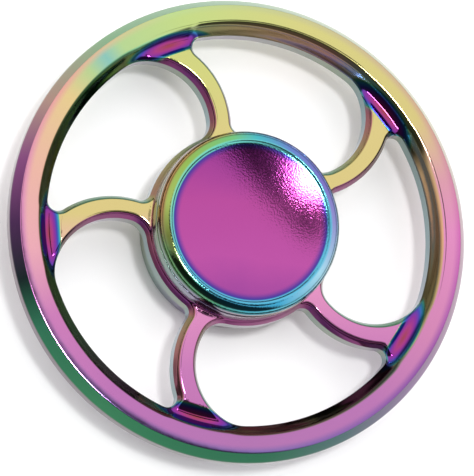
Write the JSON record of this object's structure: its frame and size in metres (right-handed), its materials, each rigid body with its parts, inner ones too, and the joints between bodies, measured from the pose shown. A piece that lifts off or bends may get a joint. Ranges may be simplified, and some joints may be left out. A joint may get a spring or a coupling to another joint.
{
  "type": "fidget spinner",
  "caption": "Metal fidget spinner: an open wheel with swept spokes turns on a ball bearing held between round finger caps.",
  "frame": {"origin": "centre of the bearing, at the middle of the wheel's thickness", "axes": "+Z along the axis the wheel spins about, out of the upper cap; +X through the first ball of the bearing"},
  "size_m": [0.06, 0.06, 0.012],
  "materials": {
    "iridescent_plating": "mirror-polished casting with an iridescent coating that runs from yellow-green through pink and violet to teal",
    "iridescent_cap": "iridescent coating, polished on the lip and satin magenta-purple in the dish",
    "bearing_steel": "ground and polished bearing steel",
    "sheet_steel": "plain pressed sheet steel and spring wire",
    "screw_steel": "blackened screw steel"
  },
  "bodies": {
    "core": {"upper_cap": "iridescent_cap", "lower_cap": "iridescent_cap", "cap_screw": "screw_steel", "bearing_inner_race": "bearing_steel"},
    "wheel": {"wheel_body": "iridescent_plating", "bearing_outer_race": "bearing_steel", "upper_shield": "sheet_steel", "lower_shield": "sheet_steel", "upper_snap_ring": "sheet_steel", "lower_snap_ring": "sheet_steel"},
    "cage": {"cage_upper_ribbon": "sheet_steel", "cage_lower_ribbon": "sheet_steel", "cage_rivet_1": "sheet_steel", "cage_rivet_2": "sheet_steel", "cage_rivet_3": "sheet_steel", "cage_rivet_4": "sheet_steel", "cage_rivet_5": "sheet_steel", "cage_rivet_6": "sheet_steel", "cage_rivet_7": "sheet_steel"},
    "ball_1": {"bearing_ball_1": "bearing_steel"},
    "ball_2": {"bearing_ball_2": "bearing_steel"},
    "ball_3": {"bearing_ball_3": "bearing_steel"},
    "ball_4": {"bearing_ball_4": "bearing_steel"},
    "ball_5": {"bearing_ball_5": "bearing_steel"},
    "ball_6": {"bearing_ball_6": "bearing_steel"},
    "ball_7": {"bearing_ball_7": "bearing_steel"}
  },
  "joints": [
    {"name": "wheel_spin", "type": "hinge", "parent": "core", "child": "wheel", "pos_m": [0, 0, 0], "axis": [0, 0, 1], "continuous": true},
    {"name": "cage_orbit", "type": "hinge", "parent": "core", "child": "cage", "pos_m": [0, 0, 0], "axis": [0, 0, 1], "continuous": true},
    {"name": "ball_spin_1", "type": "hinge", "parent": "cage", "child": "ball_1", "pos_m": [0.0075, 0, 0], "axis": [0, 0, 1], "continuous": true},
    {"name": "ball_spin_2", "type": "hinge", "parent": "cage", "child": "ball_2", "pos_m": [0.00468, 0.00586, 0], "axis": [0, 0, 1], "continuous": true},
    {"name": "ball_spin_3", "type": "hinge", "parent": "cage", "child": "ball_3", "pos_m": [-0.00167, 0.00731, 0], "axis": [0, 0, 1], "continuous": true},
    {"name": "ball_spin_4", "type": "hinge", "parent": "cage", "child": "ball_4", "pos_m": [-0.00676, 0.00325, 0], "axis": [0, 0, 1], "continuous": true},
    {"name": "ball_spin_5", "type": "hinge", "parent": "cage", "child": "ball_5", "pos_m": [-0.00676, -0.00325, 0], "axis": [0, 0, 1], "continuous": true},
    {"name": "ball_spin_6", "type": "hinge", "parent": "cage", "child": "ball_6", "pos_m": [-0.00167, -0.00731, 0], "axis": [0, 0, 1], "continuous": true},
    {"name": "ball_spin_7", "type": "hinge", "parent": "cage", "child": "ball_7", "pos_m": [0.00468, -0.00586, 0], "axis": [0, 0, 1], "continuous": true}
  ],
  "couplings": [
    {"joint": "cage_orbit", "follows": "wheel_spin", "ratio": 0.6323},
    {"joint": "ball_spin_1", "follows": "wheel_spin", "ratio": 1.7573},
    {"joint": "ball_spin_2", "follows": "wheel_spin", "ratio": 1.7573},
    {"joint": "ball_spin_3", "follows": "wheel_spin", "ratio": 1.7573},
    {"joint": "ball_spin_4", "follows": "wheel_spin", "ratio": 1.7573},
    {"joint": "ball_spin_5", "follows": "wheel_spin", "ratio": 1.7573},
    {"joint": "ball_spin_6", "follows": "wheel_spin", "ratio": 1.7573},
    {"joint": "ball_spin_7", "follows": "wheel_spin", "ratio": 1.7573}
  ]
}
